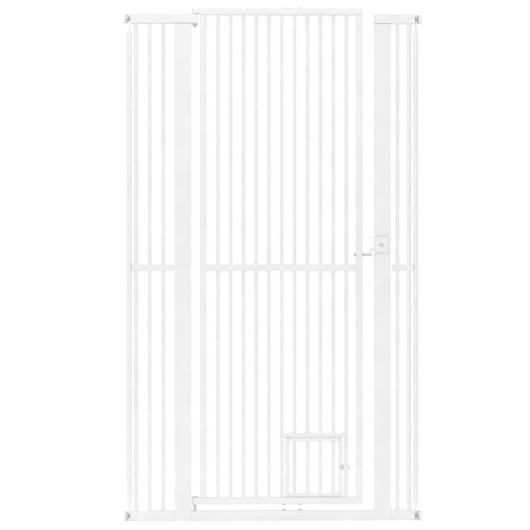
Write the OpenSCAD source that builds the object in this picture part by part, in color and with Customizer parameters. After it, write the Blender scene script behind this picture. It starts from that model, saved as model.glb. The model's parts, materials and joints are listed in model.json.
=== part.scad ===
// Tall pressure-fit pet gate with a walk-through door and a small pet door in its lower corner.
// X runs along the gate, +Y away from its front, +Z up. The origin is on the floor, in the middle.

/* [Overall] */
// Height from the floor to the top of the door
gate_h = 1800; // [1200:5:2200]
// Clear width between the two posts
opening_w = 646; // [520:1:800]
// Width of the left side panel, from its outer end to the post
left_panel_w = 153; // [120:1:260]
// Width of the right side panel, from the post to its outer end
right_panel_w = 82; // [68:1:220]

/* [Posts and rails] */
// Width of a post, seen from the front
post_w = 56; // [44:1:80]
// Depth of a post, front to back
post_d = 22; // [20:1:30]
// Height of the base rails and of the side panels' top rails
rail_h = 34; // [30:1:44]
// Depth of those rails
rail_d = 20; // [18:1:28]
// Corner radius of the frame's tubes
corner_r = 4; // [2:0.5:6]
// Wall of the square and flat tubes
tube_wall = 0.8; // [0.6:0.1:1.5]
// How far the side top rails stay below the top of the door
rail_drop = 20; // [20:1:60]
// Height of the middle of the mid rails above the floor
mid_z = 889; // [600:1:1000]
// Height of the side panels' mid rails
side_mid_h = 22; // [16:1:30]

/* [Bars] */
// Diameter of a bar
bar_d = 12; // [10:0.5:16]
// Diameter of a side panel's outermost bar
end_bar_d = 14; // [12:0.5:16]
// Wall of a bar
bar_wall = 0.6; // [0.5:0.1:1.2]
// Spacing aimed at between the door's bars, centre to centre
bar_pitch = 45; // [36:1:60]
// Spacing of the left panel's bars
left_panel_pitch = 47.8; // [36:0.2:60]
// Spacing of the right panel's bars
right_panel_pitch = 41.5; // [36:0.2:60]
// From a side panel's outer end to the middle of its outermost bar
end_bar_inset = 16; // [12:0.5:30]

/* [Door] */
// From the hinge-side post to the hinge axis
hinge_gap = 14; // [13:0.5:24]
// From the hinge axis to the outside of the hinge-side stile
hinge_to_stile = 18; // [16:0.5:30]
// Gap between the latch-side stile and its post
latch_gap = 43; // [38:1:60]
// Width and depth of a door stile, and depth of the door's rails
stile_w = 22; // [18:1:24]
// Height of the door's top rail
door_top_h = 23; // [20:1:34]
// Height of the door's bottom rail
door_bottom_h = 24; // [20:1:34]
// Height of the door's mid rail
door_mid_h = 24; // [18:1:34]
// Gap under the door, above the base rail
door_clear = 23; // [20:1:40]
// Width of the door's hinge-side half, which bolts to the other half
left_half_w = 270; // [200:1:320]
// From the hinge-side stile to the first bar, centre to centre
first_bar = 51.5; // [36:0.5:70]
// From the last bar to the latch-side stile, centre to centre
last_bar = 46.5; // [36:0.5:70]
// From the last bar of the hinge-side half to the seam between the halves
seam_bar_left = 28.5; // [20:0.5:40]
// From the seam to the first bar of the latch-side half
seam_bar_right = 16.5; // [10:0.5:30]

/* [Pet door] */
// Height of the opening, between the bottom rail and the crossbar
pet_open_h = 211.5; // [150:0.5:320]
// Bays of bars that the pet door takes up
pet_bays = 5; // [3:1:6]
// Height of the crossbar over the pet door
crossbar_h = 14; // [12:0.5:24]
// Width and depth of the leaf's stiles
leaf_stile_w = 13; // [10:0.5:16]
// Height of the leaf's top and bottom rails
leaf_rail_h = 12.5; // [8:0.5:16]
// Gap between the leaf's stiles and the bars beside them
leaf_side_gap = 7; // [6:0.5:12]
// Gap over the leaf
leaf_top_gap = 2; // [1:0.5:6]
// Gap under the leaf
leaf_bottom_gap = 1.5; // [1:0.5:6]
// Height of the leaf's latch above the bottom rail
pet_latch_z = 105; // [60:1:140]

/* [Main latch] */
// Height of the latch stud above the floor
stud_z = 934; // [910:1:1100]
// Diameter of the latch stud
stud_d = 7; // [6:0.5:9]
// Width of the latch cover
cover_w = 48.5; // [46:0.5:55]
// Height of the latch cover
cover_h = 54; // [54:0.5:70]
// Thickness of the cover's sheet
cover_t = 2; // [1.5:0.5:3]
// Thickness of the lever's sheet
lever_t = 3; // [2:0.5:4]
// How far the thumb tab stands out in front of the lever
tab_out = 20; // [12:1:30]

/* [Hinges] */
// Diameter of the hinge bolt and pin
hinge_pin_d = 8; // [6:0.5:10]
// Gap between the door's hinge lug and the side top rail under it
lug_gap = 2; // [1:0.5:5]

/* [Wall fittings] */
// Diameter of a threaded spindle
spindle_d = 10; // [8:0.5:12]
// How far a spindle can be wound out
spindle_travel = 15; // [5:1:30]
// Diameter of the hand wheel
wheel_d = 32; // [24:1:32]
// Diameter of a gap-filler tube
filler_d = 16; // [12:1:20]
// Depth of a wall cup
cup_depth = 10.5; // [9:0.5:14]

/* [Hidden] */

$fn = 48;

run_fit = 0.05;     // radial clearance of a pin or shaft that turns or slides
slip_fit = 0.1;     // clearance of a part pushed inside a tube
weld_fit = 0.05;    // clearance where a tube is coped round a bar
eps = 0.01;

// Places along the gate
frame_w = left_panel_w + post_w + opening_w + post_w + right_panel_w;
end_x = frame_w / 2;
post_l0 = -end_x + left_panel_w;
post_l1 = post_l0 + post_w;
post_r0 = post_l1 + opening_w;
post_r1 = post_r0 + post_w;
hinge_x = post_l1 + hinge_gap;
door_x0 = hinge_x + hinge_to_stile;
door_x1 = post_r0 - latch_gap;
seam_x = door_x0 + left_half_w;
stile_l = door_x0 + stile_w / 2;
stile_r = door_x1 - stile_w / 2;

// Heights
rail_z = rail_h / 2;
side_top = gate_h - rail_drop;
side_rail_z = side_top - rail_h / 2;
post_top = side_top - rail_h;
door_z0 = rail_h + door_clear;
door_z1 = door_z0 + door_bottom_h;
door_z2 = gate_h - door_top_h;
bottom_rail_z = door_z0 + door_bottom_h / 2;
top_rail_z = door_z2 + door_top_h / 2;

// Door bars
left_span = seam_x - seam_bar_left - (stile_l + first_bar);
left_n = max(1, round(left_span / bar_pitch));
left_bars = [for (i = [0 : left_n]) stile_l + first_bar + i * left_span / left_n];
right_first = seam_x + seam_bar_right;
right_span = stile_r - last_bar - right_first;
right_n = max(2, round(right_span / bar_pitch));
right_bars = [for (i = [0 : right_n]) right_first + i * right_span / right_n];
bays = min(pet_bays, right_n);
pet_first = right_n - bays;

// Side panels
left_panel_n = floor((left_panel_w - end_bar_inset - bar_d) / left_panel_pitch);
right_panel_n = floor((right_panel_w - end_bar_inset - bar_d) / right_panel_pitch);
left_panel_xs = [for (i = [1 : 1 : left_panel_n]) -end_x + end_bar_inset + i * left_panel_pitch];
right_panel_xs = [for (i = [1 : 1 : right_panel_n]) end_x - end_bar_inset - i * right_panel_pitch];
side_mid_d = 18;
side_mid_inset = 3;    // how far a side mid rail stays inside the panel's outer end
left_mid_gap = 4;      // from the left mid rail to the post
right_mid_gap = 9;     // from the right mid rail to the post

// Pet door
pet_x0 = right_bars[pet_first];
pet_x1 = right_bars[right_n];
cross_z0 = door_z1 + pet_open_h;
cross_z1 = cross_z0 + crossbar_h;
cross_d = 16;
leaf_x0 = pet_x0 + bar_d / 2 + leaf_side_gap;
leaf_x1 = pet_x1 - bar_d / 2 - leaf_side_gap;
leaf_z0 = door_z1 + leaf_bottom_gap;
leaf_z1 = cross_z0 - leaf_top_gap;
leaf_hinge_x = leaf_x0 + leaf_stile_w / 2;
leaf_latch_x = leaf_x1 - leaf_stile_w / 2;
leaf_pin_d = 6;
leaf_pin_in = 7;       // how far a leaf pin reaches into the rail or the crossbar
leaf_wall = 1;
pet_bolt_z = door_z1 + pet_latch_z;
pet_bolt_d = 5;
pet_bolt_bite = 7;     // how far the bolt reaches into the leaf's stile
striker_h = 14;
striker_t = 1;
striker_lap = 3;       // how far the striker reaches past the middle of the stile
housing_gap = 2.2;     // between the leaf's stile and the latch housing
housing_wall = 1.2;    // of the housing, past the bar it is clamped on
housing_d = 19;
housing_h = 22;
housing_x0 = leaf_x1 + housing_gap + striker_t;
housing_x1 = pet_x1 + bar_d / 2 + housing_wall;
knob_d = 14;
knob_l = 5.5;

// Depth of the door's mid rails
door_mid_d = 19;

// Joints between the door's halves, and between the base rail's halves
insert_back = 50;
insert_ahead = 98;
insert_wall = 1.5;
joint_bolts = [25.5, 82];
bolt_d = 6;
bolt_head_d = 15;
bolt_head_h = 3.5;
saddle_back = 75;
saddle_ahead = 101;
saddle_t = 1.5;
saddle_drop = 20;      // how far the saddle reaches down the rail's faces
base_seam_x = seam_x - 5;
seam_gap = 0.2;        // hairline between tubes that butt together
base_bolts = [30.5, 86.5];

// Main latch, about its pivot
pivot_x = post_r0 + 23;
pivot_z = stud_z + 35;
lever_gap = 0.5;
post_front = -post_d / 2;
lever_y1 = post_front - lever_gap;
lever_y0 = lever_y1 - lever_t;
cover_y1 = lever_y0 - lever_gap;
cover_y0 = cover_y1 - cover_t;
pivot_bush_d = 10;
pivot_screw_d = 6;
pivot_head_d = 14.5;
pivot_head_h = 3;
pivot_cap_d = 8;
fork_x = -41;          // the fork's left face, from the pivot
fork_back = 9;         // how far the fork reaches behind the stud
stud_head_d = 12;
stud_head_t = 3.5;
stud_nut_d = 12;
stud_nut_t = 5.5;
stud_gap = 0.5;
stud_head_x = pivot_x + fork_x + lever_t + 1;

// Hinges
lug_z0 = side_top + lug_gap;
lug_r = stile_w / 2;
hinge_head_d = hinge_pin_d + 4;
hinge_head_h = 3.5;
rail_past_hinge = 10;  // how far the left top rail runs past the hinge axis
bush_d = hinge_pin_d + 5;
bush_flange_d = stile_w;
cone_d = hinge_pin_d + 11;
cone_tip_d = 5;
cone_h = 13;
cone_bore = 8.3;       // how deep the hinge bolt goes into its cone nut
cone_gap = 0.3;
cone_low_d = hinge_pin_d + 6.5;
cone_low_tip_d = hinge_pin_d + 3;
cone_low_h = 6;

// Wall fittings, from the end of a rail outwards
plug_t = 3;
plug_in = 15;
plug_boss = 2.8;
flat_t = 3.5;          // thickness of a filler tube's flattened end
hook_fit = 0.5;        // round a spindle, in the slot of a filler tube's flat end
tab_clear = 4;         // from a rail's edge to where the flat end begins
tab_past = 14;         // how far the flat end runs past the spindle
nut_gap = 0.2;
nut_hub = 2.8;
wheel_t = 3.2;
cup_gap = 0.8;
cup_r = rail_h / 2;
rod_hold = 50;         // how much of a spindle stays inside the rail when wound out
rod_in = rod_hold + spindle_travel;
flat_x = plug_t + plug_boss;
hub_x = flat_x + flat_t + nut_gap;
wheel_x = hub_x + nut_hub;
cup_x = wheel_x + wheel_t + cup_gap;
filler_taper = 40;     // length over which a filler tube flattens
foot_t = 2;

// ---------- shapes that repeat ----------

module round_rect(w, h, r) {
    square([w - 2 * r, h], center = true);
    square([w, h - 2 * r], center = true);
    for (sx = [-1, 1], sy = [-1, 1])
        translate([sx * (w / 2 - r), sy * (h / 2 - r)]) circle(r);
}

module tube_section(w, h, r, wall) {
    difference() {
        round_rect(w, h, r);
        round_rect(w - 2 * wall, h - 2 * wall, r - wall);
    }
}

// Lays what is drawn flat across X: drawn x becomes Y, drawn y becomes Z
module along_x(x0, x1, z) {
    translate([x0, 0, z]) rotate([90, 0, 90]) linear_extrude(x1 - x0) children();
}

module tube_x(x0, x1, z, d, h, r, wall) {
    along_x(x0, x1, z) tube_section(d, h, r, wall);
}

module tube_z(x, z0, z1, w, d, r, wall) {
    translate([x, 0, z0]) linear_extrude(z1 - z0) tube_section(w, d, r, wall);
}

module rod_x(x0, x1, z, r) {
    translate([x0, 0, z]) rotate([0, 90, 0]) cylinder(r = r, h = x1 - x0);
}

module rod_z(x, z0, z1, r) {
    translate([x, 0, z0]) cylinder(r = r, h = z1 - z0);
}

module rod_y(x, z, y0, y1, r) {
    translate([x, y1, z]) rotate([90, 0, 0]) cylinder(r = r, h = y1 - y0);
}

module bar(x, z0, z1, d) {
    translate([x, 0, z0]) difference() {
        cylinder(d = d, h = z1 - z0);
        translate([0, 0, -eps]) cylinder(d = d - 2 * bar_wall, h = z1 - z0 + 2 * eps);
    }
}

module frame_rail(x0, x1, z) {
    tube_x(x0, x1, z, rail_d, rail_h, corner_r, tube_wall);
}

module door_rail(x0, x1, z, h) {
    tube_x(x0, x1, z, stile_w, h, 3, tube_wall);
}

// A mid rail with holes that its bars pass through
module pierced_rail(x0, x1, h, d, xs, hole_d) {
    difference() {
        tube_x(x0, x1, mid_z, d, h, 3, tube_wall);
        for (x = xs) rod_z(x, mid_z - h, mid_z + h, hole_d / 2 + slip_fit);
    }
}

// A low domed bolt head with its shank below it
module bolt(head_d, head_h, d, l) {
    difference() {
        union() {
            rotate_extrude() polygon([[0, 0], [head_d / 2, 0], [head_d / 2, head_h * 0.4],
                                      [head_d * 0.36, head_h * 0.85], [head_d * 0.2, head_h],
                                      [0, head_h]]);
            translate([0, 0, -l]) cylinder(d = d, h = l + eps);
        }
        translate([0, 0, head_h * 0.4]) cylinder(d = d * 0.75, h = head_h, $fn = 6);
    }
}

module hex_nut(d, t, hole_d) {
    difference() {
        cylinder(d = d, h = t, $fn = 6);
        translate([0, 0, -eps]) cylinder(d = hole_d, h = t + 2 * eps);
    }
}

// Puts a wall fitting at an end of the gate: side -1 is left, 1 is right
module at_end(side, z) {
    translate([side * end_x, 0, z]) mirror([side < 0 ? 1 : 0, 0, 0]) children();
}

// ---------- frame ----------

module post(x0) {
    tube_z(x0 + post_w / 2, foot_t, post_top, post_w, post_d, 2.5, tube_wall);
}

module left_post() {
    color("white") post(post_l0);
}

module right_post() {
    color("white") difference() {
        post(post_r0);
        rod_y(pivot_x, pivot_z, post_front - 1, 0, pivot_screw_d / 2 + run_fit);
    }
}

module left_top_rail() {
    color("white") difference() {
        frame_rail(-end_x, hinge_x + rail_past_hinge, side_rail_z);
        rod_z(hinge_x, post_top - 1, side_top + 1, bush_d / 2 + run_fit);
    }
}

module right_top_rail() {
    color("white") frame_rail(post_r0, end_x, side_rail_z);
}

module side_base_rails() {
    color("white") {
        frame_rail(-end_x, post_l0, rail_z);
        frame_rail(post_r1, end_x, rail_z);
    }
}

module threshold_rails() {
    color("white") {
        difference() {
            frame_rail(post_l1, base_seam_x - seam_gap / 2, rail_z);
            rod_z(hinge_x, rail_z, rail_h + 1, bush_d / 2 + run_fit);
        }
        difference() {
            frame_rail(base_seam_x + seam_gap / 2, post_r0, rail_z);
            for (x = base_bolts)
                rod_z(base_seam_x + x, rail_z, rail_h + 1, bolt_d / 2 + run_fit);
        }
    }
}

module threshold_connector() {
    color("white") difference() {
        along_x(base_seam_x - saddle_back, base_seam_x + saddle_ahead, rail_z) difference() {
            round_rect(rail_d + 2 * (saddle_t + slip_fit), rail_h + 2 * (saddle_t + slip_fit),
                       corner_r + saddle_t);
            round_rect(rail_d + 2 * slip_fit, rail_h + 2 * slip_fit, corner_r);
            translate([-rail_d, -rail_h]) square([2 * rail_d, 1.5 * rail_h - saddle_drop]);
        }
        for (x = base_bolts)
            rod_z(base_seam_x + x, rail_h - 1, rail_h + 4, bolt_d / 2 + run_fit);
    }
}

module threshold_bolts() {
    color("dimgray") for (x = base_bolts)
        translate([base_seam_x + x, 0, rail_h + saddle_t + slip_fit])
            bolt(bolt_head_d, bolt_head_h, bolt_d, 12);
}

module side_mid_rails() {
    color("white") {
        difference() {
            pierced_rail(-end_x + side_mid_inset, post_l0 - left_mid_gap, side_mid_h, side_mid_d,
                         left_panel_xs, bar_d);
            rod_z(-end_x + end_bar_inset, mid_z - side_mid_h, mid_z + side_mid_h,
                  end_bar_d / 2 + slip_fit);
        }
        difference() {
            pierced_rail(post_r1 + right_mid_gap, end_x - side_mid_inset, side_mid_h, side_mid_d,
                         right_panel_xs, bar_d);
            rod_z(end_x - end_bar_inset, mid_z - side_mid_h, mid_z + side_mid_h,
                  end_bar_d / 2 + slip_fit);
        }
    }
}

module left_panel_bars() {
    color("white") {
        bar(-end_x + end_bar_inset, rail_h, post_top, end_bar_d);
        for (x = left_panel_xs) bar(x, rail_h, post_top, bar_d);
    }
}

module right_panel_bars() {
    color("white") {
        bar(end_x - end_bar_inset, rail_h, post_top, end_bar_d);
        for (x = right_panel_xs) bar(x, rail_h, post_top, bar_d);
    }
}

// A tube whose flattened ends hang on the spindles
module filler_tube(side) {
    x = side * (end_x + flat_x + flat_t / 2);
    low = rail_z - tab_past;
    high = side_rail_z + tab_past;
    flat_low = rail_h + tab_clear;
    flat_high = post_top - tab_clear;
    round_low = flat_low + filler_taper;
    round_high = flat_high - filler_taper;
    w = filler_d / 2 + 1;
    t = flat_t / 2;
    translate([x, 0, 0]) difference() {
        intersection() {
            rod_z(0, low, high, filler_d / 2);
            translate([0, filler_d, 0]) rotate([90, 0, 0]) linear_extrude(2 * filler_d)
                polygon([[-t, low - 1], [t, low - 1], [t, flat_low], [w, round_low],
                         [w, round_high], [t, flat_high], [t, high + 1], [-t, high + 1],
                         [-t, flat_high], [-w, round_high], [-w, round_low], [-t, flat_low]]);
        }
        rod_z(0, round_low, round_high, filler_d / 2 - tube_wall);
        for (z = [rail_z, side_rail_z]) {
            rod_x(-flat_t, flat_t, z, spindle_d / 2 + hook_fit);
            translate([-flat_t, -filler_d, z - spindle_d / 2 - hook_fit])
                cube([2 * flat_t, filler_d, spindle_d + 2 * hook_fit]);
        }
    }
}

module gap_filler_tubes() {
    color("white") {
        filler_tube(-1);
        filler_tube(1);
    }
}

module end_plug() {
    difference() {
        union() {
            along_x(0, plug_t, 0) round_rect(rail_d, rail_h, corner_r);
            along_x(-plug_in, eps, 0)
                round_rect(rail_d - 2 * (tube_wall + slip_fit), rail_h - 2 * (tube_wall + slip_fit),
                           corner_r - tube_wall);
            rod_x(plug_t - eps, plug_t + plug_boss, 0, spindle_d / 2 + 3.5);
        }
        rod_x(-plug_in - 1, plug_t + plug_boss + 1, 0, spindle_d / 2 + run_fit);
    }
}

module rail_end_plugs() {
    color("whitesmoke") for (side = [-1, 1], z = [rail_z, side_rail_z])
        at_end(side, z) end_plug();
}

module post_foot_plugs() {
    color("whitesmoke") for (x = [post_l0, post_r0]) translate([x + post_w / 2, 0, 0]) {
        linear_extrude(foot_t) round_rect(post_w, post_d, 2.5);
        translate([0, 0, foot_t - eps]) linear_extrude(18)
            round_rect(post_w - 2 * (tube_wall + slip_fit), post_d - 2 * (tube_wall + slip_fit), 1.5);
    }
}

// ---------- hinges ----------

// A flanged bush, its flange's underside at z 0
module flanged_bush(d, flange_d, flange_t, l, hole_d) {
    difference() {
        union() {
            cylinder(d = flange_d, h = flange_t);
            translate([0, 0, -l]) cylinder(d = d, h = l + eps);
        }
        translate([0, 0, -l - 1]) cylinder(d = hole_d, h = l + flange_t + 2);
    }
}

module top_hinge_bush() {
    color("gainsboro") translate([hinge_x, 0, side_top])
        flanged_bush(bush_d, bush_flange_d, lug_gap - cone_gap, rail_h, hinge_pin_d + 2 * run_fit);
}

module bottom_hinge_bush() {
    color("gainsboro") translate([hinge_x, 0, rail_h])
        flanged_bush(bush_d, bush_flange_d - 1, 1.5, rail_h / 2 - 2, hinge_pin_d + 2 * run_fit);
}

module top_hinge_lug() {
    color("white") difference() {
        union() {
            translate([hinge_x, -stile_w / 2, lug_z0])
                cube([hinge_to_stile, stile_w, gate_h - lug_z0]);
            rod_z(hinge_x, lug_z0, gate_h, lug_r);
        }
        rod_z(hinge_x, lug_z0 - 1, gate_h + 1, hinge_pin_d / 2 + run_fit);
        rod_z(hinge_x, gate_h - hinge_head_h, gate_h + 1, hinge_head_d / 2 + slip_fit);
    }
}

module top_hinge_bolt() {
    head_z = gate_h - hinge_head_h;
    color("dimgray") translate([hinge_x, 0, head_z])
        bolt(hinge_head_d, hinge_head_h, hinge_pin_d, head_z - post_top + cone_bore - cone_gap);
}

module bottom_hinge_pin() {
    color("dimgray") translate([hinge_x, 0, door_z1])
        bolt(stile_w, hinge_head_h, hinge_pin_d, door_z1 - rail_h / 2);
}

module cone_nut(z, d, tip_d, h, bore) {
    translate([hinge_x, 0, z - h]) difference() {
        rotate_extrude()
            polygon([[0, 0], [tip_d / 2, 0], [d / 2, h * 0.85], [d / 2, h], [0, h]]);
        translate([0, 0, h - bore]) cylinder(d = hinge_pin_d + 2 * run_fit, h = bore + 1);
    }
}

module hinge_cone_nuts() {
    color("dimgray") {
        cone_nut(post_top - cone_gap, cone_d, cone_tip_d, cone_h, cone_bore);
        cone_nut(door_z0, cone_low_d, cone_low_tip_d, cone_low_h, cone_low_h + 1);
    }
}

// ---------- main latch ----------

module latch_cover() {
    x0 = post_r0;
    z0 = pivot_z - cover_h / 2;
    color("white") difference() {
        translate([x0, cover_y0, z0]) cube([cover_w, -cover_y0 + post_front, cover_h]);
        translate([x0 - 1, cover_y1, z0 + cover_t])
            cube([cover_w - cover_t + 1, post_front - cover_y1 + 1, cover_h]);
        rod_y(pivot_x, pivot_z, cover_y0 - 1, cover_y1 + 1, pivot_screw_d / 2 + run_fit);
    }
}

module latch_pivot_bush() {
    color("silver") difference() {
        rod_y(pivot_x, pivot_z, cover_y1, post_front, pivot_bush_d / 2);
        rod_y(pivot_x, pivot_z, cover_y1 - 1, post_front + 1, pivot_screw_d / 2 + run_fit);
    }
}

module latch_pivot_screw() {
    shank = post_front - cover_y0 + 8;
    color("dimgray") translate([pivot_x, cover_y0, pivot_z]) rotate([90, 0, 0]) difference() {
        union() {
            rotate_extrude()
                polygon([[0, 0], [pivot_head_d / 2, 0], [pivot_head_d / 2, pivot_head_h * 0.4],
                         [pivot_head_d * 0.36, pivot_head_h], [0, pivot_head_h]]);
            translate([0, 0, -shank]) cylinder(d = pivot_screw_d, h = shank + eps);
        }
        translate([0, 0, pivot_head_h / 2]) cylinder(d = pivot_cap_d + 2 * run_fit, h = pivot_head_h);
    }
}

module latch_pivot_cap() {
    h = pivot_head_h / 2;
    color("white") translate([pivot_x, cover_y0 - h, pivot_z]) rotate([90, 0, 0])
        rotate_extrude() polygon([[0, 0], [pivot_cap_d / 2, 0], [pivot_cap_d / 2, h * 0.7],
                                  [pivot_cap_d * 0.33, h * 1.1], [0, h * 1.25]]);
}

// The lever's flat outline, about its pivot
module lever_outline() {
    circle(12);
    polygon([[-11, 4], [-24, 22.6], [-32, 23], [-32, 27], [-20, 27], [-3, 11.6], [0, 0]]);
    polygon([[-11, 5], [-28.8, -8], [fork_x, -17.5], [fork_x, -26], [-34, -26], [-26, -19.5],
             [-14, -10], [-5, -10.9], [0, 0]]);
    polygon([[0, 4], [19.5, -4.5], [16.5, -12.5], [0, -6]]);
    translate([18, -8.5]) circle(4);
}

module latch_lever() {
    color("white") translate([pivot_x, 0, pivot_z]) difference() {
        union() {
            translate([0, lever_y1, 0]) rotate([90, 0, 0]) linear_extrude(lever_t) lever_outline();
            translate([-37, (lever_y1 + lever_y0 - tab_out) / 2, 24]) linear_extrude(lever_t)
                round_rect(14, lever_t + tab_out, 3);
            translate([fork_x, lever_y0, -41]) cube([lever_t, fork_back - lever_y0, 23]);
        }
        rod_y(0, 0, lever_y0 - 1, lever_y1 + 1, pivot_bush_d / 2 + run_fit);
        translate([0, 0, stud_z - pivot_z]) {
            rod_x(fork_x - 1, fork_x + lever_t + 1, 0, stud_d / 2 + stud_gap);
            translate([fork_x - 1, -stud_d / 2 - stud_gap, -20])
                cube([lever_t + 2, stud_d + 2 * stud_gap, 20]);
        }
    }
}

module latch_stud() {
    color("dimgray") {
        rod_x(door_x1 - stile_w - stud_nut_t - 2, stud_head_x + eps, stud_z, stud_d / 2);
        rod_x(stud_head_x, stud_head_x + stud_head_t, stud_z, stud_head_d / 2);
    }
}

module latch_stud_nuts() {
    color("dimgray") for (x = [door_x1 - stile_w - stud_nut_t, door_x1])
        translate([x, 0, stud_z]) rotate([0, 90, 0])
            hex_nut(stud_nut_d, stud_nut_t, stud_d + 2 * run_fit);
}

// ---------- door ----------

module door_hinge_stile() {
    color("white") tube_z(stile_l, door_z1, door_z2, stile_w, stile_w, 3, tube_wall);
}

module door_latch_stile() {
    color("white") difference() {
        tube_z(stile_r, door_z1, door_z2, stile_w, stile_w, 3, tube_wall);
        rod_x(door_x1 - stile_w - 1, door_x1 + 1, stud_z, stud_d / 2 + run_fit);
    }
}

module joint_holes(z0, z1) {
    for (x = joint_bolts) rod_z(seam_x + x, z0, z1, bolt_d / 2 + run_fit);
}

module door_top_rail_left() {
    color("white") door_rail(door_x0, seam_x, top_rail_z, door_top_h);
}

module door_top_rail_right() {
    color("white") difference() {
        door_rail(seam_x, door_x1, top_rail_z, door_top_h);
        joint_holes(top_rail_z, gate_h + 1);
    }
}

module door_bottom_rail_left() {
    color("white") difference() {
        union() {
            door_rail(hinge_x, seam_x, bottom_rail_z, door_bottom_h);
            difference() {
                rod_z(hinge_x, door_z0, door_z1, stile_w / 2);
                rod_z(hinge_x, door_z0 + tube_wall, door_z1 - tube_wall, stile_w / 2 - tube_wall);
                translate([hinge_x, -stile_w, door_z0 - 1])
                    cube([stile_w, 2 * stile_w, door_bottom_h + 2]);
            }
        }
        rod_z(hinge_x, door_z0 - 1, door_z1 + 1, hinge_pin_d / 2 + run_fit);
    }
}

module door_bottom_rail_right() {
    color("white") difference() {
        door_rail(seam_x, door_x1, bottom_rail_z, door_bottom_h);
        joint_holes(door_z0 - 1, bottom_rail_z);
        rod_z(leaf_hinge_x, bottom_rail_z, door_z1 + 1, leaf_pin_d / 2 + run_fit);
    }
}

module door_mid_rails() {
    color("white") {
        pierced_rail(door_x0 + stile_w, seam_x - seam_gap / 2, door_mid_h, door_mid_d,
                     left_bars, bar_d);
        pierced_rail(seam_x + seam_gap / 2, door_x1 - stile_w, door_mid_h, door_mid_d,
                     right_bars, bar_d);
    }
}

module door_left_bars() {
    color("white") for (x = left_bars) bar(x, door_z1, door_z2, bar_d);
}

module door_right_bars() {
    color("white") for (i = [0 : right_n]) if (i <= pet_first || i == right_n) difference() {
        bar(right_bars[i], door_z1, door_z2, bar_d);
        if (i == right_n)
            rod_x(pet_x1 - bar_d, pet_x1 + bar_d, pet_bolt_z, pet_bolt_d / 2 + run_fit);
    }
}

module door_short_bars() {
    color("white") for (i = [pet_first + 1 : 1 : right_n - 1])
        bar(right_bars[i], cross_z1, door_z2, bar_d);
}

module pet_door_crossbar() {
    color("white") difference() {
        tube_x(pet_x0, pet_x1, cross_z0 + crossbar_h / 2, cross_d, crossbar_h, 2, 1);
        for (x = [pet_x0, pet_x1])
            rod_z(x, cross_z0 - 1, cross_z1 + 1, bar_d / 2 + weld_fit);
        rod_z(leaf_hinge_x, cross_z0 - 1, cross_z0 + crossbar_h / 2, leaf_pin_d / 2 + run_fit);
    }
}

module rail_insert(z, h) {
    tube_x(seam_x - insert_back, seam_x + insert_ahead, z, stile_w - 2 * (tube_wall + slip_fit),
           h - 2 * (tube_wall + slip_fit), 2.1, insert_wall);
}

module door_rail_inserts() {
    color("lightgray") {
        difference() {
            rail_insert(top_rail_z, door_top_h);
            joint_holes(top_rail_z, gate_h + 1);
        }
        difference() {
            rail_insert(bottom_rail_z, door_bottom_h);
            joint_holes(door_z0 - 1, bottom_rail_z);
            rod_z(leaf_hinge_x, bottom_rail_z, door_z1 + 1, leaf_pin_d / 2 + 1);
        }
    }
}

module door_joint_bolts() {
    color("silver") for (x = joint_bolts) {
        translate([seam_x + x, 0, gate_h]) bolt(bolt_head_d, bolt_head_h, bolt_d, 8);
        translate([seam_x + x, 0, door_z0]) mirror([0, 0, 1])
            bolt(bolt_head_d, bolt_head_h, bolt_d, 8);
    }
}

module door_end_plugs() {
    color("whitesmoke") for (zh = [[top_rail_z, door_top_h], [bottom_rail_z, door_bottom_h]])
        along_x(door_x1 - 12, door_x1 - 0.5, zh[0])
            round_rect(stile_w - 2 * (tube_wall + slip_fit), zh[1] - 2 * (tube_wall + slip_fit), 2.1);
}

// ---------- pet door ----------

module pet_door_frame() {
    w = leaf_stile_w;
    rail_x0 = leaf_x0 + w;
    rail_x1 = leaf_x1 - w;
    color("white") {
        tube_z(leaf_hinge_x, leaf_z0, leaf_z1, w, w, 2, leaf_wall);
        difference() {
            tube_z(leaf_latch_x, leaf_z0, leaf_z1, w, w, 2, leaf_wall);
            rod_x(leaf_latch_x, leaf_x1 + 1, pet_bolt_z, pet_bolt_d / 2 + 0.5);
        }
        for (z = [leaf_z0 + leaf_rail_h / 2, leaf_z1 - leaf_rail_h / 2])
            tube_x(rail_x0, rail_x1, z, w, leaf_rail_h, 2, leaf_wall);
    }
}

module pet_door_bars() {
    color("white") for (i = [pet_first + 1 : 1 : right_n - 1])
        if (right_bars[i] > leaf_x0 + leaf_stile_w + bar_d / 2
            && right_bars[i] < leaf_x1 - leaf_stile_w - bar_d / 2)
            bar(right_bars[i], leaf_z0 + leaf_rail_h, leaf_z1 - leaf_rail_h, bar_d);
}

module leaf_pin(up) {
    inner_w = leaf_stile_w - 2 * (leaf_wall + slip_fit);
    z = up > 0 ? leaf_z1 : leaf_z0;
    gap = up > 0 ? leaf_top_gap : leaf_bottom_gap;
    translate([leaf_hinge_x, 0, z]) mirror([0, 0, up > 0 ? 0 : 1]) {
        translate([0, 0, -12]) linear_extrude(12 + eps) round_rect(inner_w, inner_w, 1);
        cylinder(d = leaf_pin_d, h = gap + leaf_pin_in - 1);
        cylinder(d = leaf_pin_d + 4, h = gap - 0.4);
    }
}

module pet_door_pins() {
    color("silver") {
        leaf_pin(1);
        leaf_pin(-1);
    }
}

module pet_door_striker() {
    w = leaf_stile_w;
    color("dimgray") translate([leaf_latch_x, 0, pet_bolt_z - striker_h / 2]) difference() {
        linear_extrude(striker_h) difference() {
            round_rect(w + 2 * striker_t, w + 2 * striker_t, 2 + striker_t);
            round_rect(w, w, 2);
            translate([-w, -w / 2 - 2 * striker_t])
                square([w - striker_lap, w + 4 * striker_t]);
        }
        rod_x(0, w, striker_h / 2, pet_bolt_d / 2 + 0.5);
    }
}

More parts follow.
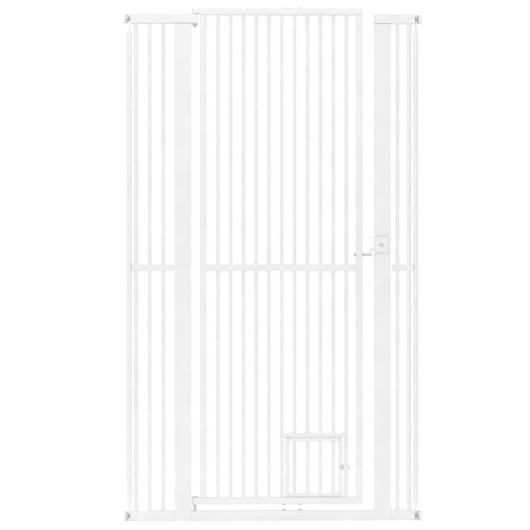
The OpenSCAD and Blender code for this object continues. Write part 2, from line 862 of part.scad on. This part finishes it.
module pet_latch_housing() {
    color("white") difference() {
        along_x(housing_x0, housing_x1, pet_bolt_z) round_rect(housing_d, housing_h, 5);
        rod_z(pet_x1, pet_bolt_z - housing_h, pet_bolt_z + housing_h, bar_d / 2 + slip_fit);
        rod_x(housing_x0 - 1, housing_x1 + 1, pet_bolt_z, pet_bolt_d / 2 + run_fit);
    }
}

module pet_latch_bolt() {
    x0 = leaf_x1 - pet_bolt_bite;
    color("silver") rod_x(x0, housing_x1 + knob_l / 2, pet_bolt_z, pet_bolt_d / 2);
}

module pet_latch_knob() {
    color("white") translate([housing_x1 + 0.5, 0, pet_bolt_z]) rotate([0, 90, 0]) difference() {
        rotate_extrude() polygon([[0, 0], [knob_d * 0.32, 0], [knob_d * 0.32, knob_l * 0.35],
                                  [knob_d * 0.46, knob_l * 0.5], [knob_d / 2, knob_l * 0.7],
                                  [knob_d * 0.44, knob_l], [0, knob_l]]);
        translate([0, 0, -1]) cylinder(d = pet_bolt_d + 2 * run_fit, h = knob_l / 2 + 0.5);
    }
}

// ---------- wall fittings ----------

module spindle(side, z) {
    color("dimgray") at_end(side, z) {
        rod_x(-rod_in, cup_x + 5, 0, spindle_d / 2);
        rod_x(cup_x + 4, cup_x + 8, 0, cup_r * 0.66);
    }
}

module wall_cup(side, z) {
    color("white") at_end(side, z) translate([cup_x, 0, 0]) rotate([0, 90, 0])
        rotate_extrude() polygon([[0, cup_depth], [cup_r, cup_depth], [cup_r, cup_depth - 2],
                                  [cup_r * 0.9, 0], [cup_r * 0.74, 0], [cup_r * 0.7, 8.2], [0, 8.2]]);
}

module hand_wheel(side, z) {
    grips = 12;
    color("dimgray") at_end(side, z) difference() {
        union() {
            rod_x(hub_x, wheel_x + eps, 0, spindle_d / 2 + 4);
            rod_x(wheel_x, wheel_x + wheel_t, 0, wheel_d / 2);
        }
        rod_x(hub_x - 1, wheel_x + wheel_t + 1, 0, spindle_d / 2 + run_fit);
        for (i = [0 : grips - 1]) rotate([i * 360 / grips, 0, 0])
            rod_x(wheel_x - 1, wheel_x + wheel_t + 1, wheel_d / 2 + 0.8, 2);
    }
}

// ---------- what is drawn ----------

left_post();
right_post();
left_top_rail();
right_top_rail();
side_base_rails();
threshold_rails();
threshold_connector();
threshold_bolts();
side_mid_rails();
left_panel_bars();
right_panel_bars();
gap_filler_tubes();
rail_end_plugs();
post_foot_plugs();
top_hinge_bush();
bottom_hinge_bush();
latch_cover();
latch_pivot_screw();
latch_pivot_cap();
latch_pivot_bush();
latch_lever();
door_hinge_stile();
door_latch_stile();
door_top_rail_left();
door_top_rail_right();
door_bottom_rail_left();
door_bottom_rail_right();
door_mid_rails();
door_left_bars();
door_right_bars();
door_short_bars();
pet_door_crossbar();
door_rail_inserts();
door_joint_bolts();
door_end_plugs();
top_hinge_lug();
top_hinge_bolt();
bottom_hinge_pin();
hinge_cone_nuts();
latch_stud();
latch_stud_nuts();
pet_latch_housing();
pet_door_frame();
pet_door_bars();
pet_door_pins();
pet_door_striker();
pet_latch_bolt();
pet_latch_knob();
spindle(-1, side_rail_z);  // spindle_top_left
spindle(-1, rail_z);  // spindle_bottom_left
spindle(1, side_rail_z);  // spindle_top_right
spindle(1, rail_z);  // spindle_bottom_right
wall_cup(-1, side_rail_z);  // wall_cup_top_left
wall_cup(-1, rail_z);  // wall_cup_bottom_left
wall_cup(1, side_rail_z);  // wall_cup_top_right
wall_cup(1, rail_z);  // wall_cup_bottom_right
hand_wheel(-1, side_rail_z);  // hand_wheel_top_left
hand_wheel(-1, rail_z);  // hand_wheel_bottom_left
hand_wheel(1, side_rail_z);  // hand_wheel_top_right
hand_wheel(1, rail_z);  // hand_wheel_bottom_right
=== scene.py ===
import json
import math
import random

import bmesh
import bpy
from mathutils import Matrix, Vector


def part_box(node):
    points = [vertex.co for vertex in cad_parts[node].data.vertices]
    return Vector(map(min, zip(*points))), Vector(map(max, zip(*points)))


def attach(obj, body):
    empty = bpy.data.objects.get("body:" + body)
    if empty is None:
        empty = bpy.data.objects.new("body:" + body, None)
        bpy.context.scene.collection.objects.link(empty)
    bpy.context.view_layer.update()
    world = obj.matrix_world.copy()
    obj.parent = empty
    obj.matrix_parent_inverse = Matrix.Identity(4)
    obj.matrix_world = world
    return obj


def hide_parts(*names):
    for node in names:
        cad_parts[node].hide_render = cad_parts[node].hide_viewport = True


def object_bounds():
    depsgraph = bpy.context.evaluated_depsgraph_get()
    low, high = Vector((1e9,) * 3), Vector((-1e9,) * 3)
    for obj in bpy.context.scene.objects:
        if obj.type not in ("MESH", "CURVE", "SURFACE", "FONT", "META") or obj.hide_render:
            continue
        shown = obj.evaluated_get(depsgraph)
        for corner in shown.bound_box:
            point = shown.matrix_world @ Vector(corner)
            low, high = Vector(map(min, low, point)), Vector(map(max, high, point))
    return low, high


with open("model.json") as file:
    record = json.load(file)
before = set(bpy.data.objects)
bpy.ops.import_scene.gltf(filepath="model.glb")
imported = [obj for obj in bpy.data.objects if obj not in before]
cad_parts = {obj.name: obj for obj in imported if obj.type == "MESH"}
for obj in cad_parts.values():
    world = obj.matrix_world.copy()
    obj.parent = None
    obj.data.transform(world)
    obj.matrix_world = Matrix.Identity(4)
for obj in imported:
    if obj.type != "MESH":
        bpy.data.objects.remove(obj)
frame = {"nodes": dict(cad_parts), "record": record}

nodes = frame["nodes"]
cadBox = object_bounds()
slotOf = {part["node"]: part["material_slot"] for part in frame["record"]["subparts"]}
print("frame loaded:", len(nodes), "nodes")


# One socket, with arithmetic that adds its Math nodes
class Wire:
    def __init__(self, finish, socket):
        self.finish = finish
        self.socket = socket

    def sum(self, operation, a, b=0.0):
        return self.finish.add("ShaderNodeMath", {"operation": operation}, [a, b])

    def __add__(self, other):
        return self.sum("ADD", self, other)

    def __radd__(self, other):
        return self.sum("ADD", other, self)

    def __sub__(self, other):
        return self.sum("SUBTRACT", self, other)

    def __rsub__(self, other):
        return self.sum("SUBTRACT", other, self)

    def __mul__(self, other):
        return self.sum("MULTIPLY", self, other)

    def __rmul__(self, other):
        return self.sum("MULTIPLY", other, self)

    def wave(self):
        return self.sum("SINE", self)

    # 0 below low, 1 above high, smooth between; low may be the larger one
    def between(self, low, high):
        return self.finish.add("ShaderNodeMapRange", {"interpolation_type": "SMOOTHSTEP"},
                               {"Value": self, "From Min": low, "From Max": high})


# The nodes of a material or of the sky, added one by one
class Finish:
    def __init__(self, owner, coordinates="Object"):
        owner.use_nodes = True
        self.owner = owner
        self.tree = owner.node_tree
        self.tree.nodes.clear()
        self.place = self.add("ShaderNodeTexCoord", out=coordinates)

    def add(self, kind, settings=None, sockets=None, out=0):
        node = self.tree.nodes.new(kind)
        for key, value in (settings or {}).items():
            setattr(node, key, value)
        pairs = sockets.items() if isinstance(sockets, dict) else enumerate(sockets or [])
        for key, value in pairs:
            if isinstance(value, Wire):
                self.tree.links.new(value.socket, node.inputs[key])
            else:
                node.inputs[key].default_value = value
        return Wire(self, node.outputs[out]) if node.outputs else None

    def stretch(self, x, y, z):
        return self.add("ShaderNodeVectorMath", {"operation": "MULTIPLY"}, [self.place, (x, y, z)])

    def noise(self, scale, detail=2.0, roughness=0.5, at=None):
        return self.add("ShaderNodeTexNoise", None,
                        {"Vector": at or self.place, "Scale": scale, "Detail": detail,
                         "Roughness": roughness})

    def cells(self, scale):
        return self.add("ShaderNodeTexVoronoi", None, {"Vector": self.place, "Scale": scale})

    def axis(self, letter, of=None):
        return self.add("ShaderNodeSeparateXYZ", None, [of or self.place], out="XYZ".index(letter))

    def facing(self, letter):
        return self.axis(letter, self.add("ShaderNodeTexCoord", out="Normal"))

    def tint(self, amount, a, b):
        return self.add("ShaderNodeMix", {"data_type": "RGBA"},
                        {0: amount, 6: rgba(a), 7: rgba(b)}, out=2)

    def bump(self, height, depth):
        return self.add("ShaderNodeBump", None, {"Height": height, "Distance": depth, "Strength": 1.0})

    def done(self, **sockets):
        names = {"colour": "Base Color", "metal": "Metallic", "roughness": "Roughness", "normal": "Normal"}
        filled = {names[key]: value for key, value in sockets.items()}
        surface = self.add("ShaderNodeBsdfPrincipled", None, filled)
        self.add("ShaderNodeOutputMaterial", None, {"Surface": surface})
        return self.owner


def rgba(colour):
    return colour if isinstance(colour, Wire) else (*colour, 1.0)


def newFinish(name):
    return Finish(bpy.data.materials.new(name))


coat = {"white": (0.845, 0.845, 0.843), "shade": (0.815, 0.816, 0.815), "scuff": (0.60, 0.60, 0.60),
        "dust": (0.79, 0.785, 0.775), "peelSize": 0.0012, "peelDepth": 0.000016,
        "roughness": 0.40, "spread": 0.10, "fleckAmount": 0.25,
        "scuffHeight": 0.045, "scuffStretch": (48, 60, 130), "scuffAmount": 0.22, "dustAmount": 0.45}


def powderCoat():
    f = newFinish("powderCoat")
    drift = f.noise(9, 3)
    fleck = f.cells(260).between(0.05, 0.03)          # a rare grain in the powder
    rub = f.noise(1, 4, 0.65, f.stretch(*coat["scuffStretch"])).between(0.60, 0.72)
    low = f.axis("Z").between(coat["scuffHeight"], 0.004)
    worn = rub * low * coat["scuffAmount"]             # shoe scuffs near the floor
    settled = f.facing("Z").between(0.75, 0.98) * f.noise(34, 4, 0.6).between(0.42, 0.72)
    colour = f.tint(drift.between(0.35, 0.65), coat["white"], coat["shade"])
    colour = f.tint(fleck * coat["fleckAmount"], colour, coat["scuff"])
    colour = f.tint(settled * coat["dustAmount"], colour, coat["dust"])
    colour = f.tint(worn, colour, coat["scuff"])
    peel = f.noise(1 / coat["peelSize"], 1.5, 0.4) + 0.35 * f.noise(170, 2)
    mottle = coat["spread"] * (f.noise(55, 3) - 0.5)
    roughness = coat["roughness"] + mottle + 0.18 * settled + 0.2 * worn
    return f.done(colour=colour, roughness=roughness, normal=f.bump(peel, coat["peelDepth"]))


moulded = {"white": (0.84, 0.838, 0.828), "flow": (0.80, 0.80, 0.79), "grainSize": 0.0006,
           "grainDepth": 0.000014, "roughness": 0.46}


def mouldedPlastic():
    f = newFinish("mouldedPlastic")
    flow = f.noise(1, 4, 0.6, f.stretch(60, 60, 150)).between(0.35, 0.7)
    colour = f.tint(flow * 0.7, moulded["white"], moulded["flow"])
    grain = f.cells(1 / moulded["grainSize"]) + 0.5 * f.noise(900, 2)
    roughness = moulded["roughness"] + 0.12 * (f.noise(120, 3) - 0.5)
    return f.done(colour=colour, roughness=roughness, normal=f.bump(grain, moulded["grainDepth"]))


nylon = {"colour": (0.82, 0.82, 0.81), "dark": (0.72, 0.72, 0.71), "turning": 0.0006, "roughness": 0.5,
         "turningDepth": 0.000008}


def turnedNylon():
    f = newFinish("turnedNylon")
    rings = (f.axis("Z") * (2 * math.pi / nylon["turning"]) + 3 * f.noise(140, 2)).wave()
    colour = f.tint(f.noise(210, 4).between(0.4, 0.75), nylon["colour"], nylon["dark"])
    return f.done(colour=colour, roughness=nylon["roughness"] + 0.06 * rings,
                  normal=f.bump(rings, nylon["turningDepth"]))


dullZinc = {"colour": (0.64, 0.64, 0.645), "bloom": (0.55, 0.55, 0.55), "rub": (0.75, 0.75, 0.75),
            "roughness": 0.36, "metal": 0.75, "streak": (300, 2600, 2600), "streakDepth": 0.00001}


def dullZincPlate():
    f = newFinish("dullZincPlate")
    bloom = f.noise(160, 4, 0.6).between(0.42, 0.7)
    rub = f.noise(420, 3, 0.7).between(0.62, 0.72)
    streaks = f.noise(1, 3, 0.6, f.stretch(*dullZinc["streak"]))
    colour = f.tint(bloom, dullZinc["colour"], dullZinc["bloom"])
    colour = f.tint(rub * 0.5, colour, dullZinc["rub"])
    roughness = dullZinc["roughness"] + 0.16 * bloom + 0.10 * (streaks - 0.5)
    return f.done(colour=colour, metal=dullZinc["metal"], roughness=roughness,
                  normal=f.bump(streaks + 0.6 * f.noise(1500, 2), dullZinc["streakDepth"]))


brightZinc = {"colour": (0.76, 0.76, 0.765), "spangle": (0.66, 0.66, 0.67), "roughness": 0.30,
              "metal": 1.0, "grainDepth": 0.000008}


def zincPlate():
    f = newFinish("zincPlate")
    spangle = f.cells(520).between(0.1, 0.6)
    haze = f.noise(90, 4, 0.6)
    colour = f.tint(spangle * 0.6, brightZinc["colour"], brightZinc["spangle"])
    roughness = brightZinc["roughness"] + 0.14 * spangle + 0.12 * (haze - 0.5)
    return f.done(colour=colour, metal=brightZinc["metal"], roughness=roughness,
                  normal=f.bump(f.noise(1300, 3), brightZinc["grainDepth"]))


finishes = {"coat": powderCoat(), "white_plastic": mouldedPlastic(), "bush_plastic": turnedNylon(),
            "dark_steel": dullZincPlate(), "zinc_steel": zincPlate()}

for name, item in nodes.items():
    item.data.materials.clear()
    item.data.materials.append(finishes[slotOf[name]])
print("finishes on", len(nodes), "nodes")


def makePiece(name, bm, body, slot):
    bmesh.ops.recalc_face_normals(bm, faces=bm.faces)
    mesh = bpy.data.meshes.new(name)
    bm.to_mesh(mesh)
    bm.free()
    for face in mesh.polygons:
        face.use_smooth = True
    mesh.materials.append(finishes[slot])
    piece = bpy.data.objects.new(name, mesh)
    bpy.context.scene.collection.objects.link(piece)
    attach(piece, body)
    return piece


# Joins rings of points into one skin; each ring holds the same number of points
def skin(bm, rings, closed=False, caps=False):
    made = [[bm.verts.new(point) for point in ring] for ring in rings]
    count = len(made)
    for i in range(count if closed else count - 1):
        a, b = made[i], made[(i + 1) % count]
        for j in range(len(a)):
            k = (j + 1) % len(a)
            bm.faces.new((a[j], a[k], b[k], b[j]))
    if caps and not closed:
        bm.faces.new(made[0])
        bm.faces.new(list(reversed(made[-1])))


# The separate tubes of a node, each as its lowest and highest corner
def tubesOf(name):
    mesh = nodes[name].data
    bm = bmesh.new()
    bm.from_mesh(mesh)
    bmesh.ops.remove_doubles(bm, verts=bm.verts, dist=1e-6)
    seen, found = set(), []
    for start in bm.verts:
        if start in seen:
            continue
        stack, island = [start], []
        seen.add(start)
        while stack:
            vert = stack.pop()
            island.append(vert.co.copy())
            for edge in vert.link_edges:
                other = edge.other_vert(vert)
                if other not in seen:
                    seen.add(other)
                    stack.append(other)
        low = Vector([min(p[i] for p in island) for i in range(3)])
        high = Vector([max(p[i] for p in island) for i in range(3)])
        found.append((low, high))
    bm.free()
    return merged(found)


# Islands that overlap seen from above are walls of one tube
def merged(boxes):
    out = []
    for low, high in sorted(boxes, key=lambda box: box[0].x):
        if out and low.x < out[-1][1].x and low.y < out[-1][1].y and low.z < out[-1][1].z:
            out[-1] = (Vector(map(min, low, out[-1][0])), Vector(map(max, high, out[-1][1])))
        else:
            out.append((low, high))
    return out


weld = {"leg": 0.0013, "midShare": 0.6, "petLeg": 0.0004, "lineLeg": 0.0018, "midLineLeg": 0.0014,
        "sink": 0.0008, "bite": 0.0004, "lineBite": 0.0005, "around": 36, "lineSteps": 16,
        "ripple": 0.12, "ripples": 11, "lineRipple": 2.6, "seed": 7,
        "frameHalf": 0.0065, "doorHalf": 0.0085, "midHalf": 0.0075}
dice = random.Random(weld["seed"])


# A fillet round a bar where it meets a flat face; way is 1 if the bar rises from the face
def weldRing(bm, x, z, radius, way, leg):
    phase = dice.random() * 2 * math.pi
    rings = []
    for i in range(weld["around"]):
        turn = 2 * math.pi * i / weld["around"]
        swell = 1 + weld["ripple"] * math.sin(weld["ripples"] * turn + phase)
        size = leg * swell
        outline = [(radius - weld["bite"], -weld["sink"]), (radius + size, -weld["sink"]),
                   (radius + size * 0.98, 0.0), (radius + size * 0.55, size * 0.42),
                   (radius + size * 0.18, size * 0.8), (radius - weld["bite"], size)]
        rings.append([Vector((x + r * math.cos(turn), r * math.sin(turn), z + way * h))
                      for r, h in outline])
    skin(bm, rings, closed=True)


# A straight fillet across the depth, in the corner of two faces that point along sideways and upward
def weldLine(bm, x, z, halfDepth, sideways, upward, leg):
    steps, bite = weld["lineSteps"], weld["lineBite"]
    phase = dice.random() * 2 * math.pi
    rings = []
    for i in range(steps + 1):
        y = halfDepth * (2 * i / steps - 1)
        fade = min(1.0, 4 * (1 - abs(y) / halfDepth) + 0.25)
        size = leg * fade * (1 + weld["ripple"] * math.sin(weld["lineRipple"] * i + phase))
        outline = [(-bite, -bite), (size, -bite), (size * 0.98, 0), (size * 0.5, size * 0.5),
                   (0, size * 0.98), (-bite, size)]
        rings.append([Vector((x + sideways * a, y, z + upward * b)) for a, b in outline])
    skin(bm, rings, caps=True)


def barWelds(bm, name, leg):
    for low, high in tubesOf(name):
        x, radius = (low.x + high.x) / 2, (high.x - low.x) / 2
        weldRing(bm, x, low.z, radius, 1, leg)
        weldRing(bm, x, high.z, radius, -1, leg)


# Where bars pass through a mid rail, above and below it
def railWelds(bm, rail, bars, leg):
    low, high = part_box(rail)
    for name in bars:
        for a, b in tubesOf(name):
            if a.z < low.z and b.z > high.z:
                x, radius = (a.x + b.x) / 2, (b.x - a.x) / 2
                weldRing(bm, x, low.z, radius, -1, leg)
                weldRing(bm, x, high.z, radius, 1, leg)


def frameWelds():
    bm = bmesh.new()
    for name in ("left_panel_bars", "right_panel_bars"):
        barWelds(bm, name, weld["leg"])
    railWelds(bm, "side_mid_rails", ("left_panel_bars", "right_panel_bars"), weld["leg"] * weld["midShare"])
    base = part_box("side_base_rails")[1].z
    for post in ("left_post", "right_post"):
        low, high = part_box(post)
        for x, way in ((low.x, -1), (high.x, 1)):
            weldLine(bm, x, base, weld["frameHalf"], way, 1, weld["lineLeg"])
            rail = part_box("left_top_rail" if post == "left_post" else "right_top_rail")
            if rail[0].x < x - 0.002 and x + 0.002 < rail[1].x:
                weldLine(bm, x, high.z, weld["frameHalf"], way, -1, weld["lineLeg"])
    makePiece("frameWelds", bm, "frame", "coat")


def doorWelds():
    bm = bmesh.new()
    for name in ("door_left_bars", "door_right_bars", "door_short_bars"):
        barWelds(bm, name, weld["leg"])
    railWelds(bm, "door_mid_rails", ("door_left_bars", "door_right_bars", "door_short_bars"),
              weld["leg"] * weld["midShare"])
    hinge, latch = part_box("door_hinge_stile"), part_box("door_latch_stile")
    for x, way in ((hinge[1].x, 1), (latch[0].x, -1)):
        weldLine(bm, x, hinge[0].z, weld["doorHalf"], way, 1, weld["lineLeg"])
        weldLine(bm, x, hinge[1].z, weld["doorHalf"], way, -1, weld["lineLeg"])
        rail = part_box("door_mid_rails")
        weldLine(bm, x, rail[0].z, weld["midHalf"], way, -1, weld["midLineLeg"])
        weldLine(bm, x, rail[1].z, weld["midHalf"], way, 1, weld["midLineLeg"])
    makePiece("doorWelds", bm, "door", "coat")


def petDoorWelds():
    bm = bmesh.new()
    barWelds(bm, "pet_door_bars", weld["petLeg"])
    makePiece("petDoorWelds", bm, "pet_door", "coat")


frameWelds()
doorWelds()
petDoorWelds()
print("welds laid")


def cornerName(corner):
    return corner.title().replace("_", "")


# Turns a profile of (along, radius) about the rod's own line; along runs outwards from start
def lathe(bm, start, side, z, profile, around):
    made = []
    for along, r in profile:
        if r < 1e-6:
            made.append([bm.verts.new((start + side * along, 0, z))])
        else:
            made.append([bm.verts.new((start + side * along, r * math.cos(2 * math.pi * j / around),
                                       z + r * math.sin(2 * math.pi * j / around)))
                         for j in range(around)])
    for a, b in zip(made, made[1:]):
        for j in range(around):
            k = (j + 1) % around
            if len(a) == 1:
                bm.faces.new((a[0], b[k], b[j]))
            elif len(b) == 1:
                bm.faces.new((a[j], a[k], b[0]))
            else:
                bm.faces.new((a[j], a[k], b[k], b[j]))


# The threaded rod that winds each wall cup out, with the pressure disc on its end
screw = {"pitch": 0.003, "depth": 0.0008, "crest": 0.30, "flank": 0.35, "around": 40, "stepsPerTurn": 12,
         "tipDrop": 0.0012, "tipSlope": 0.9, "disc": 0.0112, "discThick": 0.004, "discRound": 0.0005,
         "discBevel": 0.0006}


def threadedRod(corner):
    node = "spindle_" + corner
    low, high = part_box(node)
    side = -1 if high.x < 0 else 1
    z = (low.z + high.z) / 2
    inner, outer = (high.x, low.x) if side < 0 else (low.x, high.x)
    length = abs(outer - inner)
    radius = max(abs(v.co.z - z) for v in nodes[node].data.vertices if abs(v.co.x - inner) < 0.0005)
    shank = length - screw["discThick"] - screw["discRound"]
    bm = bmesh.new()
    rings = []
    steps = int(shank / screw["pitch"] * screw["stepsPerTurn"])
    for i in range(steps + 1):
        along = shank * i / steps
        ring = []
        for j in range(screw["around"]):
            turn = 2 * math.pi * j / screw["around"]
            phase = (along / screw["pitch"] - j / screw["around"]) % 1.0
            height = min(1.0, max(0.0, (abs(phase - 0.5) * 2 - screw["crest"]) / screw["flank"]))
            tip = radius - screw["tipDrop"] + min(along, shank - along) * screw["tipSlope"]
            r = min(radius - screw["depth"] * height, tip)
            ring.append(Vector((inner + side * along, r * math.cos(turn), z + r * math.sin(turn))))
        rings.append(ring)
    skin(bm, rings, caps=True)
    disc, edge, inset = screw["disc"], screw["discRound"], screw["discBevel"]
    profile = [(shank, 0.0), (shank, disc - inset), (shank + edge, disc), (length - edge, disc),
               (length, disc - inset), (length, 0.0)]
    lathe(bm, inner, side, z, profile, screw["around"])
    piece = makePiece("threadedRod" + cornerName(corner), bm, "adjuster_" + corner, "dark_steel")
    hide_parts(node)


# A moulded cup with a rolled rim, an inner step and ring grooves on its wall side
cup = {"around": 64, "lip": 0.9, "bore": 0.74, "floorThick": 0.0023, "groove": 0.0004, "grooves": 3}


def wallCup(corner):
    node = "wall_cup_" + corner
    low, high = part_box(node)
    side = -1 if high.x < 0 else 1
    start = high.x if side < 0 else low.x
    z, r, depth = (low.z + high.z) / 2, (high.z - low.z) / 2, high.x - low.x
    lip, bore, floor = r * cup["lip"], r * cup["bore"], depth - cup["floorThick"]
    profile = [(floor, 0.0), (floor, r * 0.66), (floor - 0.0005, r * 0.70), (0.0010, bore),
               (0.0003, bore + 0.0003), (0.0, bore + 0.0009), (0.0, lip - 0.0008),
               (0.0003, lip - 0.0002), (0.0009, lip + 0.0001)]
    profile += [(depth - 0.0025, r * 0.985), (depth - 0.0020, r - 0.0001), (depth - 0.0017, r),
                (depth - 0.0004, r), (depth - 0.0001, r - 0.0002), (depth, r - 0.0006)]
    for i in range(cup["grooves"]):
        at = r * (0.84 - 0.2 * i)
        profile += [(depth, at + 0.0005), (depth - cup["groove"], at + 0.0003),
                    (depth - cup["groove"], at - 0.0003), (depth, at - 0.0005)]
    profile.append((depth, 0.0))
    bm = bmesh.new()
    lathe(bm, start, side, z, profile, cup["around"])
    piece = makePiece("wallCup" + cornerName(corner), bm, "adjuster_" + corner, "white_plastic")
    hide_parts(node)


for corner in ("top_left", "bottom_left", "top_right", "bottom_right"):
    threadedRod(corner)
    wallCup(corner)
print("wall fittings made")


studio = {"floorRadius": 1.6, "backdrop": 1.0, "above": 0.86, "below": 0.74, "key": 26.0, "fill": 8.0,
          "top": 2.0, "floorGlow": 0.18, "floorGap": 0.0002, "floorLight": (0.93, 0.93, 0.93),
          "floorShade": (0.90, 0.90, 0.90), "floorRoughness": 0.7, "horizon": 0.4}


def layFloor():
    bm = bmesh.new()
    bmesh.ops.create_circle(bm, cap_ends=True, radius=studio["floorRadius"], segments=96)
    mesh = bpy.data.meshes.new("studioFloor")
    bm.to_mesh(mesh)
    bm.free()
    floor = bpy.data.objects.new("studioFloor", mesh)
    floor.location.z = cadBox[0].z - studio["floorGap"]
    bpy.context.scene.collection.objects.link(floor)
    f = newFinish("paleFloor")
    tone = f.tint(f.noise(2.2, 3), studio["floorLight"], studio["floorShade"])
    surface = f.add("ShaderNodeBsdfPrincipled", None,
                    {"Base Color": tone, "Roughness": studio["floorRoughness"],
                     "Emission Color": (1, 1, 1, 1), "Emission Strength": studio["floorGlow"]})
    f.add("ShaderNodeOutputMaterial", None, {"Surface": surface})
    mesh.materials.append(f.owner)


def softLight(name, place, target, width, height, power):
    lamp = bpy.data.lights.new(name, "AREA")
    lamp.shape = "RECTANGLE"
    lamp.size, lamp.size_y = width, height
    lamp.energy = power
    item = bpy.data.objects.new(name, lamp)
    item.location = place
    item.rotation_euler = (Vector(target) - Vector(place)).to_track_quat("-Z", "Y").to_euler()
    item.visible_camera = False
    bpy.context.scene.collection.objects.link(item)


# The backdrop is plain to the camera; the light it gives fades a little towards the floor
def lightSky():
    world = bpy.data.worlds.new("studioSky")
    bpy.context.scene.world = world
    sky = Finish(world, "Generated")
    white = (1, 1, 1, 1)
    strength = sky.add("ShaderNodeMapRange", None,
                       {"Value": sky.axis("Z"), "From Min": -studio["horizon"],
                        "From Max": studio["horizon"], "To Min": studio["below"], "To Max": studio["above"]})
    shaded = sky.add("ShaderNodeBackground", None, {"Color": white, "Strength": strength})
    plain = sky.add("ShaderNodeBackground", None, {"Color": white, "Strength": studio["backdrop"]})
    seen = sky.add("ShaderNodeLightPath", out="Is Camera Ray")
    mixed = sky.add("ShaderNodeMixShader", None, [seen, shaded, plain])
    sky.add("ShaderNodeOutputWorld", None, {"Surface": mixed})


layFloor()
lightSky()
middle = (cadBox[0] + cadBox[1]) / 2
softLight("keyLight", (-0.5, -2.8, 3.0), (0, 0, 1.4), 2.4, 1.6, studio["key"])
softLight("fillLight", (-4.2, -3.4, 1.3), (0, 0, 1.1), 1.6, 2.6, studio["fill"])
softLight("topLight", (0.0, -0.6, 4.2), middle, 3.0, 1.6, studio["top"])

view = {"stand": (-0.20, -8.0, 0.90), "look": (-0.0273, 0.0, 0.8978), "lens": 154.5, "sensor": 36.0}
camera = bpy.data.cameras.new("camera")
camera.lens, camera.sensor_width = view["lens"], view["sensor"]
camera.clip_end = 60
tripod = bpy.data.objects.new("camera", camera)
tripod.location = view["stand"]
tripod.rotation_euler = (Vector(view["look"]) - Vector(view["stand"])).to_track_quat("-Z", "Y").to_euler()
bpy.context.scene.collection.objects.link(tripod)
bpy.context.scene.camera = tripod
bpy.context.scene.view_settings.view_transform = "Standard"
print("floor, light and camera set")
